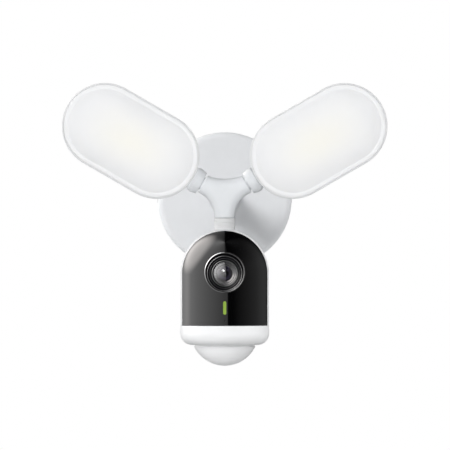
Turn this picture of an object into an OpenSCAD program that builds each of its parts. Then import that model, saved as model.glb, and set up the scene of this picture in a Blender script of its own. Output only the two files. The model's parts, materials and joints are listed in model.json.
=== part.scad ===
// Floodlight security camera: two tilting lamp heads and a hanging camera on a Y-shaped wall arm.
// Frame: origin at the centre of the canopy's wall face, +Y into the wall, +Z up, +X to the viewer's right.

/* [Canopy] */
// Radius of the round wall canopy
canopy_r = 70; // [68:0.5:74]
// Depth of the canopy from the wall to its front face
canopy_depth = 38; // [36:0.5:42]
// Wall thickness of the canopy
canopy_wall = 3; // [2.5:0.1:3.5]
// Rounding of the canopy's front edge
canopy_fillet = 6; // [5:0.5:8]

/* [Arm] */
// Distance from the wall to the plane of the Y arm
stand_off = 118; // [116:1:130]
// Height of the point where the three arms cross
hub_z = 2.2; // [1:0.1:4]
// Angle of each lamp arm above the horizontal
arm_angle = 30; // [28:0.5:32]
// Radius of the arm's rounded edges
arm_edge_r = 9.4; // [9:0.1:9.8]
// Radius of the concave top edge between the lamp arms
arm_top_fillet = 51.7; // [50:0.1:53]
// Radius of the concave fillets beside the leg
arm_side_fillet = 30; // [29:0.5:31]
// Radius of the trunk that reaches back to the canopy
trunk_r = 13; // [12:0.5:14]

/* [Lamp head] */
// Distance from the crossing point to the middle of a lamp head
head_reach = 112.9; // [112:0.1:116]
// End radius of the lamp head's outline
head_r = 44.4; // [43.8:0.1:45]
// Half the distance between the centres of the lamp head's end arcs
head_half = 30.75; // [30:0.25:33]
// Gap from the arm's plane to the back of the lamp head
head_back = 18; // [18:0.5:20]
// Depth of the lamp head's rear housing
head_depth = 24; // [23:0.5:26]
// Height of the diffuser's dome above the housing's rim
diffuser_rise = 8; // [6:0.5:9]
// Distance from the crossing point to the lamp's tilt pin
pin_reach = 58; // [57:0.5:59]

/* [Camera] */
// Radius of the camera's dome-topped body
body_r = 45.9; // [45.5:0.1:46.5]
// Height of the centre of the camera's dome
dome_z = -77.3; // [-79:0.1:-77]
// Length of the straight part of the body below the dome's centre
body_drop = 53.9; // [53:0.1:55]
// Height of the white base band
band_h = 20.2; // [20:0.1:21]
// Radius of the motion sensor's dome
pir_r = 35.3; // [35:0.1:35.6]
// Outer radius of the lens bezel
bezel_r = 21; // [20.5:0.1:21.5]
// Radius of the front lens
lens_r = 12.6; // [12:0.1:12.8]

/* [Hidden] */
$fn = 96;
SMALL_FN = 32;
EPS = 0.01;
SEAM = 0.15;
CUT = 60;

// Canopy and bracket, in the wall frame: X right, Y up, Z out of the wall
gasket_h = 3;
gasket_w = 4;
bracket_r = 60;
bracket_t = 2;
entry_r = 16;
slot_x = 44.45;
slot_len = 14;
slot_r = 2.4;
lug_x = 62;
lug_half = 9;
lug_h = 22;
lug_t = 2;
lug_foot = 10;
side_screw_w = 15;
m4_r = 1.95;
m4_hole_r = 2;
m4_clear_r = 2.3;
m4_head = [3.6, 1.8];
head_recess_r = 4;
canopy_screw_l = 9;
ground_head = [3.8, 2.4];
m3_r = 1.5;
m3_hole_r = 1.6;
m3_head = [2.7, 1.7];
ground_y = -32;
tail_r = 8;
tail_end = 24;
wire_r = 5;
wire_way_r = 3.5;
flange_r = 16;
flange_t = 4;
arm_gasket_t = 1.2;
nut_h = 6.5;
nut_across = 26;
driver_size = [70, 30, 21];
driver_y = -37;
terminal_size = [34, 14, 12];
terminal_at = [-30, 36];
terminal_pitch = 10;
terminal_screw_r = 2.4;
terminal_wire_r = 1.8;
terminal_wire_h = 6;

// Arm, in the arm frame: X out along the arm, Y across it, Z towards the front
arm_end = 26.5;
bar_half = 0.4;
leg_bar_half = 1.2;
web_t = 1;
leg_end_z = -19.9;
bore_gap = 0.05;
spigot_r = 7;
spigot_in = 10;
collar_in = 28;
collar_lip = 33;
collar_out = 37;
collar_end = 44;
collar_r = 13.2;
collar_lip_r = 11.9;
collar_end_r = 8;
oring_r = 1.3;
oring_at = 22.5;
lock_at = 16;
lock_r = 2;
groove_r = 5.6;
groove_half = 2.3;

// Tilt knuckle
tongue_half = 5;
tongue_r = 9;
tongue_bar = 6.5;
ear_gap = 5.8;
ear_t = 5;
pin_r = 3;
pin_fit = 0.02;
pin_run = 0.06;
washer_r = 7;
bolt_head_h = 3;
bolt_head_r = 5.2;
hex_socket_r = 2;
hex_socket_floor = 1.2;
tilt_nut_r = 5.6;
tilt_nut_h = 4;
washer_t = 0.6;
knuckle_wire_r = 2.6;

// Lamp head, heights measured from the arm's plane
head_shift = 1.4;
back_fillet = 14;
head_wall = 4.1;
rim_w = 1.5;
rim_round = 1.2;
floor_t = 3;
step_h = 7;
step_w = 8;
rim_z = head_back + head_depth;
seat_z = rim_z - 4;
floor_z = head_back + floor_t;
board_z = floor_z + 6;
board_t = 1.6;
led_z = board_z + board_t;
led_h = 0.9;
led_w = 3.5;
led_cols = 9;
led_rows = 4;
led_pitch = [10, 8];
tray_t = 1.2;
tray_top = seat_z - 1;
gasket_t = 1;
seat_r = head_r - rim_w;
cavity_r = head_r - head_wall;
flange_top = rim_z + 0.6;
dome_r = head_r - 6.2;
dome_rise = diffuser_rise - 0.6;
dome_power = 3.4;
dome_steps = 16;
skin_t = 2;
boss_size = [76, 24];
head_screw_at = [34, 28];
head_screw_l = 8;
head_screw_recess = [3.1, 2.4];
led_board_r = 24;
fin_h = 6;
fin_t = 2;
fin_pitch = 7;
fin_rows = 3;
fin_len = 74;
fin_start = -18;
fin_step = 3;
lamp_window = [90, 32];

// Camera, in the camera frame: origin at the centre of the dome
shell_t = 2.6;
panel_t = 2.4;
panel_y = -12;
slot_half = 5.3;
tilt_range = 45;
stem_r = 4.5;
stem_wire_r = 2.2;
boss_r = 7;
boss_half = 6;
saddle_gap = 0.4;
neck_r = 10.6;
neck_top = -24.3;
neck_spigot_r = 6;
neck_spigot_top = -7;
ring_top = -20.2;
ring_r = 10.8;
cradle_in = 6.4;
cradle_out = 9.4;
cradle_r = 41.8;
cradle_wall = 1.6;
cradle_front = -9.2;
cradle_low = -10;
band_r = body_r + 0.3;
band_fillet = 12.5;
band_low = -body_drop - band_h;
pir_z = -60.3;
pir_t = 1.6;
pir_neck_r = 31;
pir_neck_in = 29;
pir_groove = 1.4;
pir_flange_r = 37.5;
pir_flange_t = 1.7;
lens_z = 1.3;
lens_drop = 1;
bezel_front = -48.6;
bezel_back = -34.8;
bezel_in = 19.4;
bezel_lip = 0.6;
bezel_ledge = [14.6, 22.6];
bezel_seat = bezel_back - 1.4;
funnel_front = -46.6;
funnel_deep = -41.6;
funnel_in = 13.5;
funnel_out = 18.3;
funnel_rim = 1;
funnel_t = 1.4;
barrel_r = 13.4;
barrel_front = -42.4;
barrel_back = -19;
barrel_neck_r = 11;
barrel_neck_front = -36;
barrel_bore_r = 9;
glass_seat = -38;
glass_front = -43.5;
glass_dome_r = 18;
iris_in = 4.3;
iris_r = 8.95;
iris_y = -34;
iris_t = 1.4;
infrared_at = [22, -25];
infrared_z = [-18, 14];
status_z = [-42.3, -28.5];
status_r = 1.6;
mic_z = -48.7;
mic_r = 0.8;
screw_x = 30;
screw_z = [-45, -8];
well_r = 2.9;
well_y = 24;
well_boss_r = 4.4;
screw_boss_r = 4;
thread_y = -24;
bay_x = 10;
bay_z = [-52.2, -36];
bay_wall = 1.7;
bay_floor_y = 35;
bay_floor_t = 1.6;
flap_t = 1.6;
flap_gap = 0.35;
flap_axis = [44.2, -50.4];
flap_hinge_r = 0.8;
button_x = -6.5;
button_r = 2;
service_z = -43.5;
card_w = 11.4;
card_x = 3.5;
speaker_at = [-23, -26];
speaker_r = 12;
speaker_y = 22;
speaker_hole_r = 0.9;
speaker_pitch = 3.6;
sensor_board_half = 13;
sensor_board_y = -18.6;
main_board_y = -11.4;
board_thick = 1.6;
pir_board_z = -57.6;
pir_board_r = 20;
infrared_r = 2.5;
infrared_base = 4.5;

WHITE = [0.92, 0.93, 0.93];
SHELL = [0.88, 0.89, 0.9];
BLACK = [0.04, 0.04, 0.045];
FROST = [0.96, 0.96, 0.95];
STEEL = [0.7, 0.71, 0.72];
RUBBER = [0.15, 0.15, 0.16];
BOARD = [0.08, 0.3, 0.2];
GLASS = [0.25, 0.22, 0.32];
DARK = [0.12, 0.12, 0.14];
EARTH = [0.2, 0.5, 0.25];
PHOSPHOR = [0.95, 0.8, 0.35];
LIT_GREEN = [0.35, 0.6, 0.2];

// ---- frames ----

// Wall frame: X right, Y up, Z out of the wall
module on_wall() rotate([90, 0, 0]) children();

// Arm frame of one side: 1 is the viewer's right, -1 the left
module at_arm(side)
    mirror([side < 0 ? 1 : 0, 0, 0])
        translate([0, -stand_off, hub_z])
            rotate([0, -arm_angle, 0])
                rotate([90, 0, 0])
                    children();

// Middle of a lamp head, in the arm frame
module at_head(side) at_arm(side) translate([head_reach, head_shift, 0]) children();

// Tilt pin of a lamp head, with Z along the pin
module at_pin(side) at_arm(side) translate([pin_reach, 0, 0]) rotate([-90, 0, 0]) children();

// Camera frame: origin at the dome's centre, -Y to the front
module at_camera() translate([0, -stand_off, dome_z]) children();

// Something round about the bezel's axis: Z points to the front
module at_lens() at_camera() translate([0, 0, lens_z]) rotate([90, 0, 0]) children();

// Something round about the optical axis, a little below the bezel's
module at_optics() at_camera() translate([0, 0, lens_z - lens_drop]) rotate([90, 0, 0]) children();

// ---- shared shapes ----

// Half section of a block with its outer top corner rounded
module top_round(r, low, high, fillet) intersection() {
    translate([0, low]) square([r, high - low]);
    union() {
        translate([0, low]) square([r, high - low - fillet]);
        translate([0, low]) square([r - fillet, high - low]);
        translate([r - fillet, high - fillet]) circle(fillet);
    }
}

// Half section of a block with its outer bottom corner rounded
module bottom_round(r, low, high, fillet) intersection() {
    translate([0, low]) square([r, high - low]);
    union() {
        translate([0, low + fillet]) square([r, high - low - fillet]);
        translate([0, low]) square([r - fillet, high - low]);
        translate([r - fillet, low + fillet]) circle(fillet);
    }
}

// Solid with a stadium outline, from a half section drawn in X (outwards) and Y (height)
module stadium_solid(half) {
    for (end = [0, 180])
        rotate([0, 0, end])
            translate([half, 0, 0])
                rotate([0, 0, -90])
                    rotate_extrude(angle = 180) children();
    translate([-half, 0, 0])
        rotate([90, 0, 90])
            linear_extrude(2 * half) {
                children();
                mirror([1, 0]) children();
            }
}

// Flat ring with a stadium outline
module stadium_ring(outer, inner, low, high)
    stadium_solid(head_half) translate([inner, low]) square([outer - inner, high - low]);

// Flat plate with a stadium outline
module stadium_plate(r, low, high)
    stadium_solid(head_half) translate([0, low]) square([r, high - low]);

// Half section of the camera body: a dome over a straight side
module capsule_section(r, low) {
    intersection() {
        circle(r);
        square([r, r]);
    }
    translate([0, low]) square([r, -low]);
}

// Height of the diffuser's face at a distance from its middle line
function face_at(r) = flange_top + dome_rise * (1 - pow(r / dome_r, dome_power));

// Half section under the diffuser's crowned face, dropped by a depth and cut at a distance
module face_section(drop, reach, low) {
    rim = [for (k = [0 : dome_steps]) reach * sin(90 * k / dome_steps)];
    polygon(concat([for (r = rim) [r, face_at(r) - drop]], [[reach, low], [0, low]]));
}

module capsule(r, low) rotate_extrude() capsule_section(r, low);

module tube(outer, inner, low, high)
    difference() {
        translate([0, 0, low]) cylinder(r = outer, h = high - low);
        translate([0, 0, low - 1]) cylinder(r = inner, h = high - low + 2);
    }

// Box from its low corner to its high corner
module box(low, high) translate(low) cube(high - low);

// Slot with round ends, along X
module slot(length, r, h) {
    for (side = [-1, 1]) translate([side * (length / 2 - r), 0, 0]) cylinder(r = r, h = h, $fn = SMALL_FN);
    translate([-length / 2 + r, -r, 0]) cube([length - 2 * r, 2 * r, h]);
}

// Pan-head screw pointing down from its head's underside at Z = 0; a head is its radius and height
module pan_screw(shaft_r, length, head)
    difference() {
        recess = [head[0] * 1.1, head[0] * 0.24, head[1]];
        union() {
            translate([0, 0, -length]) cylinder(r = shaft_r, h = length + EPS, $fn = SMALL_FN);
            cylinder(r = head[0], h = head[1], $fn = SMALL_FN);
        }
        for (turn = [0, 90])
            rotate([0, 0, turn]) translate([-recess.x / 2, -recess.y / 2, head[1] * 0.45]) cube(recess);
    }

// ---- wall side ----

module canopy_cover() color(SHELL) on_wall() difference() {
    rotate_extrude() difference() {
        top_round(canopy_r, gasket_h, canopy_depth, canopy_fillet);
        top_round(canopy_r - canopy_wall, gasket_h - 1, canopy_depth - canopy_wall,
                  canopy_fillet - canopy_wall / 2);
    }
    translate([0, 0, canopy_depth - canopy_wall - 1]) cylinder(r = tail_r + 0.2, h = canopy_wall + 2);
    for (side = [0, 180]) rotate([0, 0, side]) translate([0, 0, side_screw_w]) rotate([0, 90, 0]) {
        translate([0, 0, canopy_r - 8]) cylinder(r = m4_clear_r, h = 16, $fn = SMALL_FN);
        translate([0, 0, canopy_r - canopy_wall / 2]) cylinder(r = head_recess_r, h = 8, $fn = SMALL_FN);
    }
}

module canopy_gasket() color(RUBBER) on_wall() tube(canopy_r - 0.4, canopy_r - gasket_w, 0, gasket_h);

module mounting_bracket() color(STEEL) on_wall() difference() {
    union() {
        cylinder(r = bracket_r, h = bracket_t);
        for (side = [-1, 1]) {
            translate([side * (lug_x + lug_t - lug_foot / 2), 0, bracket_t / 2])
                cube([lug_foot, 2 * lug_half, bracket_t], center = true);
            translate([side * (lug_x + lug_t / 2), 0, lug_h / 2])
                cube([lug_t, 2 * lug_half, lug_h], center = true);
        }
    }
    translate([0, 0, -1]) cylinder(r = entry_r, h = bracket_t + 2);
    for (side = [-1, 1]) {
        translate([side * slot_x, 0, -1]) slot(slot_len, slot_r, bracket_t + 2);
        translate([side * (lug_x + lug_t / 2), 0, side_screw_w])
            rotate([0, 90, 0])
                cylinder(r = m4_hole_r, h = 3 * lug_t, center = true, $fn = SMALL_FN);
    }
    translate([0, ground_y, -1]) cylinder(r = m4_hole_r, h = bracket_t + 2, $fn = SMALL_FN);
}

module canopy_screws() color(STEEL) on_wall()
    for (side = [0, 180])
        rotate([0, 0, side])
            translate([canopy_r - canopy_wall / 2, 0, side_screw_w])
                rotate([0, 90, 0])
                    pan_screw(m4_r, canopy_screw_l, m4_head);

module ground_screw() color(EARTH) on_wall()
    translate([0, ground_y, bracket_t]) pan_screw(m4_r, bracket_t, ground_head);

module terminal_block() color(WHITE) on_wall()
    translate([terminal_at.x, terminal_at.y, bracket_t]) difference() {
        translate([-terminal_size.x / 2, -terminal_size.y / 2, 0]) cube(terminal_size);
        for (way = [-1, 0, 1]) translate([way * terminal_pitch, 0, 0]) {
            translate([0, 0, terminal_wire_h])
                cylinder(r = terminal_screw_r, h = terminal_size.z, $fn = SMALL_FN);
            translate([0, 0, terminal_wire_h])
                rotate([90, 0, 0])
                    cylinder(r = terminal_wire_r, h = CUT, center = true, $fn = SMALL_FN);
        }
    }

module driver_case() color(WHITE) on_wall() {
    top = canopy_depth - canopy_wall - 0.2;
    translate([-driver_size.x / 2, driver_y - driver_size.y / 2, top - driver_size.z]) cube(driver_size);
}

// Middle plane of the Y arm, which the rounded edge is swept around
module arm_web_section() {
    end = arm_end + 8;
    leg_top = hub_z - leg_end_z + 10;
    line_gap = arm_edge_r / cos(arm_angle);
    top_z = (arm_top_fillet + line_gap * cos(arm_angle)) / cos(arm_angle);
    corner_x = arm_edge_r + leg_bar_half;
    corner_z = -line_gap + corner_x * tan(arm_angle);
    side_gap = arm_side_fillet / sin(60);
    for (side = [-1, 1])
        rotate([0, 0, 90 - side * (90 - arm_angle)])
            translate([0, -bar_half])
                square([end, 2 * bar_half]);
    translate([-leg_bar_half, -leg_top]) square([2 * leg_bar_half, leg_top]);
    difference() {
        polygon([
            for (side = [-1, 1]) [side * end * cos(arm_angle), end * sin(arm_angle)],
            [0, leg_end_z - hub_z]
        ]);
        translate([0, top_z]) circle(arm_top_fillet + arm_edge_r);
        for (side = [-1, 1])
            translate([side * (corner_x + side_gap * cos(30)), corner_z - side_gap * sin(30)])
                circle(arm_side_fillet + arm_edge_r);
    }
}

module y_arm() color(WHITE) difference() {
    union() {
        difference() {
            translate([0, -stand_off, hub_z])
                rotate([90, 0, 0])
                    minkowski() {
                        translate([0, 0, -web_t / 2]) linear_extrude(web_t) arm_web_section();
                        sphere(arm_edge_r, $fn = 40);
                    }
            for (side = [-1, 1]) at_arm(side) translate([arm_end + CUT / 2, 0, 0]) cube(CUT, center = true);
            translate([0, -stand_off, leg_end_z - CUT / 2]) cube(CUT, center = true);
        }
        on_wall() {
            translate([0, 0, canopy_depth + arm_gasket_t])
                cylinder(r = trunk_r, h = stand_off - canopy_depth - arm_gasket_t);
            translate([0, 0, canopy_depth + arm_gasket_t]) cylinder(r = flange_r, h = flange_t);
            translate([0, 0, tail_end]) cylinder(r = tail_r, h = canopy_depth - tail_end + 5);
        }
    }
    on_wall() translate([0, 0, tail_end - 1]) cylinder(r = wire_r, h = stand_off - tail_end + 1);
    for (side = [-1, 1]) at_arm(side) {
        translate([spigot_in - 2, 0, 0])
            rotate([0, 90, 0])
                cylinder(r = spigot_r + bore_gap, h = arm_end - spigot_in + 3);
        rotate([0, 90, 0]) cylinder(r = wire_way_r, h = arm_end, $fn = SMALL_FN);
        translate([lock_at, 0, -20]) cylinder(r = lock_r, h = 20 - groove_r, $fn = SMALL_FN);
    }
    translate([0, -stand_off, leg_end_z - 1])
        cylinder(r = neck_spigot_r + bore_gap, h = neck_spigot_top - leg_end_z + 2);
    translate([0, -stand_off, leg_end_z]) cylinder(r = wire_way_r, h = hub_z - leg_end_z, $fn = SMALL_FN);
    translate([0, -stand_off + groove_r, (leg_end_z + neck_spigot_top) / 2])
        rotate([-90, 0, 0])
            cylinder(r = lock_r, h = 20, $fn = SMALL_FN);
}

module arm_gasket() color(RUBBER) on_wall() tube(flange_r - 0.3, tail_r + 0.3, canopy_depth,
                                                 canopy_depth + arm_gasket_t);

module arm_nut() color(STEEL) on_wall() {
    top = canopy_depth - canopy_wall;
    difference() {
        translate([0, 0, top - nut_h]) cylinder(d = nut_across / cos(30), h = nut_h, $fn = 6);
        translate([0, 0, top - nut_h - 1]) cylinder(r = tail_r + 0.03, h = nut_h + 2);
    }
}

// Grub screw along Z with a hexagon socket at its low end
module grub_screw(length)
    difference() {
        cylinder(r = lock_r - 0.05, h = length, $fn = SMALL_FN);
        translate([0, 0, -1]) cylinder(r = 1, h = 2.6, $fn = 6);
    }

module arm_lock_screws() color(STEEL) {
    grub = 3.4;
    for (side = [-1, 1]) at_arm(side) translate([lock_at, 0, -groove_r - grub - 0.1]) grub_screw(grub);
    translate([0, -stand_off + groove_r + grub + 0.1, (leg_end_z + neck_spigot_top) / 2])
        rotate([90, 0, 0])
            grub_screw(grub);
}

// ---- lamp heads ----

module knuckle(side) color(WHITE) difference() {
    union() {
        at_arm(side) rotate([0, 90, 0]) rotate_extrude() difference() {
            polygon([
                [0, spigot_in], [spigot_r, spigot_in], [spigot_r, collar_in],
                [collar_lip_r, collar_in], [collar_r, collar_lip], [collar_r, collar_out],
                [collar_end_r, collar_end], [0, collar_end]
            ]);
            translate([groove_r, lock_at - groove_half]) square([10, 2 * groove_half]);
            translate([spigot_r, oring_at]) circle(oring_r + 0.1, $fn = SMALL_FN);
        }
        at_pin(side) {
            translate([0, 0, -tongue_half]) cylinder(r = tongue_r, h = 2 * tongue_half);
            translate([collar_end - pin_reach - 4, -tongue_bar, -tongue_half])
                cube([pin_reach - collar_end + 4, 2 * tongue_bar, 2 * tongue_half]);
        }
    }
    at_pin(side) cylinder(r = pin_r + pin_run, h = CUT, center = true);
    at_arm(side)
        rotate([0, 90, 0])
            cylinder(r = knuckle_wire_r, h = pin_reach - tongue_r - 2, $fn = SMALL_FN);
}

module swivel_oring(side) color(RUBBER) at_arm(side) rotate([0, 90, 0]) rotate_extrude() intersection() {
    translate([spigot_r, oring_at]) circle(oring_r, $fn = SMALL_FN);
    square([spigot_r + bore_gap / 2, arm_end]);
}

// Button-head bolt through both ears, with its head on one side and its thread on the other
module tilt_bolt(side) color(STEEL) at_pin(side) {
    outer = ear_gap + ear_t;
    difference() {
        union() {
            translate([0, 0, -outer - tilt_nut_h - 1]) cylinder(r = pin_r, h = 2 * outer + tilt_nut_h + 1.1);
            translate([0, 0, outer]) cylinder(r = bolt_head_r, h = bolt_head_h, $fn = 48);
        }
        translate([0, 0, outer + hex_socket_floor]) cylinder(r = hex_socket_r, h = bolt_head_h, $fn = 6);
    }
}

module tilt_nut(side) color(STEEL) at_pin(side)
    translate([0, 0, -ear_gap - ear_t - tilt_nut_h]) difference() {
        cylinder(r = tilt_nut_r, h = tilt_nut_h, $fn = 6);
        translate([0, 0, -1]) cylinder(r = pin_r + pin_fit, h = tilt_nut_h + 2);
    }

module tilt_washers(side) color(RUBBER) at_pin(side)
    for (face = [-1, 1])
        translate([0, 0, face * (tongue_half + ear_gap) / 2])
            tube(washer_r, pin_r + pin_run, -washer_t / 2, washer_t / 2);

module head_housing(side) color(WHITE) difference() {
    union() {
        at_head(side) {
            stadium_solid(head_half) difference() {
                intersection() {
                    bottom_round(head_r, head_back, rim_z, back_fillet);
                    top_round(head_r, head_back, rim_z, rim_round);
                }
                translate([0, floor_z]) square([cavity_r - step_w, head_depth]);
                translate([0, floor_z + step_h]) square([cavity_r, head_depth]);
                translate([0, seat_z]) square([seat_r, head_depth]);
            }
            for (row = [-fin_rows : fin_rows])
                translate([fin_start, row * fin_pitch - fin_t / 2, head_back - fin_h])
                    cube([fin_len - abs(row) * fin_step, fin_t, fin_h + 1]);
            translate([-boss_size.x / 2, -boss_size.y / 2, floor_z - 1])
                cube([boss_size.x, boss_size.y, board_z - floor_z + 1]);
        }
        at_pin(side) for (face = [-1, 1])
            translate([0, 0, face * (ear_gap + ear_t / 2) - ear_t / 2]) {
                cylinder(r = tongue_r, h = ear_t);
                translate([-tongue_r, -head_back - 1, 0]) cube([2 * tongue_r, head_back + 1, ear_t]);
            }
    }
    at_pin(side) cylinder(r = pin_r + pin_fit, h = CUT, center = true);
    at_head(side) for (end = [-1, 1], edge = [-1, 1])
        translate([end * head_screw_at.x, edge * head_screw_at.y, head_back - 1]) {
            cylinder(r = m3_hole_r, h = floor_t + head_screw_l + 1, $fn = SMALL_FN);
            cylinder(r = head_screw_recess[0], h = head_screw_recess[1], $fn = SMALL_FN);
        }
}

module led_board(side) color(SHELL) at_head(side) stadium_plate(led_board_r, board_z, led_z);

module leds(side) color(PHOSPHOR) at_head(side)
    for (col = [0 : led_cols - 1], row = [0 : led_rows - 1])
        translate([
            (col - (led_cols - 1) / 2) * led_pitch.x - led_w / 2,
            (row - (led_rows - 1) / 2) * led_pitch.y - led_w / 2,
            led_z
        ]) cube([led_w, led_w, led_h]);

module reflector(side) color(FROST) at_head(side) difference() {
    stadium_solid(head_half) difference() {
        translate([0, led_z + 0.1]) square([cavity_r - 0.3, tray_top - led_z - 0.1]);
        polygon([
            [0, led_z + 0.1 + tray_t], [cavity_r - 6, led_z + 0.1 + tray_t],
            [cavity_r - 1.6, tray_top + EPS], [0, tray_top + EPS]
        ]);
    }
    translate([-lamp_window.x / 2, -lamp_window.y / 2, led_z - 1])
        cube([lamp_window.x, lamp_window.y, tray_top - led_z]);
}

module diffuser_gasket(side) color(RUBBER) at_head(side)
    stadium_ring(seat_r - 0.2, cavity_r + 0.3, seat_z, seat_z + gasket_t);

module diffuser(side) color(FROST) at_head(side) stadium_solid(head_half) difference() {
    union() {
        translate([0, seat_z + gasket_t]) square([seat_r - SEAM, flange_top - seat_z - gasket_t]);
        face_section(0, dome_r, seat_z + gasket_t);
    }
    face_section(skin_t, dome_r - skin_t * 1.2, seat_z);
}

module head_screws(side) color(STEEL) at_head(side)
    for (end = [-1, 1], edge = [-1, 1])
        translate([end * head_screw_at.x, edge * head_screw_at.y, head_back + head_screw_recess[1] - 1])
            rotate([180, 0, 0])
                pan_screw(m3_r, head_screw_l, m3_head);

// ---- camera hanger ----

module neck_stem() color(WHITE) difference() {
    union() {
        difference() {
            translate([0, -stand_off, dome_z + body_r - 4])
                cylinder(r = neck_r, h = neck_top - dome_z - body_r + 4);
            at_camera() sphere(body_r + saddle_gap);
        }
        translate([0, -stand_off, dome_z]) cylinder(r = stem_r, h = neck_top - dome_z);
        translate([0, -stand_off, neck_top - EPS])
            cylinder(r = neck_spigot_r, h = neck_spigot_top - neck_top);
        at_camera() rotate([0, 90, 0]) cylinder(r = boss_r, h = 2 * boss_half, center = true);
    }
    at_camera() rotate([0, 90, 0]) cylinder(r = pin_r + pin_run, h = CUT, center = true);
    translate([0, -stand_off, dome_z + boss_r + 3])
        cylinder(r = stem_wire_r, h = neck_spigot_top - dome_z, $fn = SMALL_FN);
    translate([0, -stand_off, (leg_end_z + neck_spigot_top) / 2 - groove_half])
        tube(neck_spigot_r + 2, neck_spigot_r - 1.2, 0, 2 * groove_half);
}

module pan_lock_ring() color(SHELL)
    translate([0, -stand_off, 0]) tube(ring_r, neck_spigot_r + 0.1, neck_top + 0.2, ring_top);

// ---- camera ----

// Half of the camera frame in front of the panel's edge (1) or behind it (-1)
module keep_half(front)
    translate([-80, front > 0 ? panel_y - 100 - SEAM : panel_y, -120]) cube([160, 100, 240]);

module camera_shell(outer, inner)
    difference() {
        capsule(outer, -body_drop);
        capsule(inner, -body_drop - 1);
    }

module at_screw_wells()
    for (side = [-1, 1], z = screw_z)
        translate([side * screw_x, 0, z]) rotate([-90, 0, 0]) children();

// Path of the stem through the shell, from upright to the far end of the tilt
module stem_slot()
    rotate([90, 0, 90]) linear_extrude(2 * slot_half, center = true) polygon([
        [-slot_half, 30], [-slot_half, 60], [60, 60],
        [60, 60 * tan(90 - tilt_range) - slot_half / sin(tilt_range)],
        [30, 30 * tan(90 - tilt_range) - slot_half / sin(tilt_range)]
    ]);

module rear_shell() color(SHELL) at_camera() difference() {
    union() {
        intersection() {
            camera_shell(body_r, body_r - shell_t);
            keep_half(-1);
        }
        intersection() {
            at_screw_wells() translate([0, 0, panel_y]) cylinder(r = well_boss_r, h = CUT, $fn = 48);
            capsule(body_r - 1, -body_drop);
        }
    }
    at_screw_wells() {
        translate([0, 0, panel_y - 1]) cylinder(r = m3_hole_r, h = CUT, $fn = SMALL_FN);
        translate([0, 0, well_y]) cylinder(r = well_r, h = CUT, $fn = SMALL_FN);
    }
    stem_slot();
    box([-bay_x, 30, bay_z[0]], [bay_x, 60, bay_z[1]]);
    for (ring = [0, 1, 2], k = [0 : max(0, ring * 6 - 1)])
        translate([
            speaker_at.x + ring * speaker_pitch * cos(k * 60 / max(1, ring)), 20,
            speaker_at.y + ring * speaker_pitch * sin(k * 60 / max(1, ring))
        ]) rotate([-90, 0, 0]) cylinder(r = speaker_hole_r, h = 30, $fn = 16);
}

module front_panel() color(BLACK) difference() {
    at_camera() union() {
        intersection() {
            camera_shell(body_r, body_r - panel_t);
            keep_half(1);
        }
        intersection() {
            at_screw_wells()
                translate([0, 0, -60])
                    cylinder(r = screw_boss_r, h = 60 + panel_y - SEAM, $fn = 48);
            capsule(body_r - 1, -body_drop);
        }
    }
    at_lens() cylinder(r = bezel_r + 0.1, h = 80);
    at_camera() {
        status_bar(0.1, -60);
        translate([0, -60, mic_z]) rotate([-90, 0, 0]) cylinder(r = mic_r, h = 40, $fn = SMALL_FN);
        at_screw_wells() translate([0, 0, thread_y]) cylinder(r = m3_r + 0.05, h = -thread_y, $fn = SMALL_FN);
    }
}

// Upright bar with round ends, from a front face back to the light's board
module status_bar(gap, front) {
    back = -40;
    for (z = [status_z[0] + status_r, status_z[1] - status_r])
        translate([0, front, z])
            rotate([-90, 0, 0])
                cylinder(r = status_r + gap, h = back - front, $fn = 48);
    box([-status_r - gap, front, status_z[0] + status_r], [status_r + gap, back, status_z[1] - status_r]);
}

module status_light() color(LIT_GREEN) at_camera() status_bar(0, -body_r);

module shell_screws() color(STEEL) at_camera()
    at_screw_wells() translate([0, 0, well_y]) pan_screw(m3_r, well_y + 20, m3_head);

module base_band() color(WHITE) at_camera() difference() {
    rotate_extrude() difference() {
        bottom_round(band_r, band_low, -body_drop - SEAM, band_fillet);
        bottom_round(band_r - shell_t, band_low + shell_t, -body_drop + 1, band_fillet - shell_t);
    }
    translate([0, 0, band_low - 1]) cylinder(r = pir_neck_r + SEAM, h = shell_t + 2);
}

// Bulb, neck and flange; the neck leaves a shadow groove under the band
module pir_dome() color(FROST) at_camera() rotate_extrude() {
    bulb_top = band_low - pir_groove;
    neck_low = bulb_top - pir_t / 2;
    flange_low = band_low + shell_t + 0.1;
    difference() {
        intersection() {
            translate([0, pir_z]) circle(pir_r);
            translate([0, pir_z - pir_r]) square([pir_r, bulb_top - pir_z + pir_r]);
        }
        translate([0, pir_z]) circle(pir_r - pir_t);
    }
    translate([pir_neck_in, neck_low])
        square([pir_neck_r - pir_neck_in, flange_low + pir_flange_t - neck_low]);
    intersection() {
        bottom_round(band_r - shell_t - 0.1, flange_low, -body_drop, band_fillet - shell_t - 0.1);
        translate([pir_neck_in, flange_low]) square([pir_flange_r - pir_neck_in, pir_flange_t]);
    }
}

module pir_sensor() color(BOARD) at_camera() {
    can = [4.6, 4.4];
    outer_can = [2.2, 3.4];
    translate([0, 0, pir_board_z]) cylinder(r = pir_board_r, h = board_thick);
    translate([0, 0, pir_board_z - can[1]]) cylinder(r = can[0], h = can[1] + EPS, $fn = 48);
    for (turn = [90, 210, 330])
        rotate([0, 0, turn])
            translate([pir_board_r * 0.65, 0, pir_board_z - outer_can[1]])
                cylinder(r = outer_can[0], h = outer_can[1] + EPS, $fn = SMALL_FN);
}

// Side view of the pocket that the stem swings in, from its front wall and its floor outwards
module cradle_view(front, low)
    intersection() {
        circle(cradle_r);
        polygon([[front, low], [-low, low], [60, 60], [front, 60]]);
    }

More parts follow.
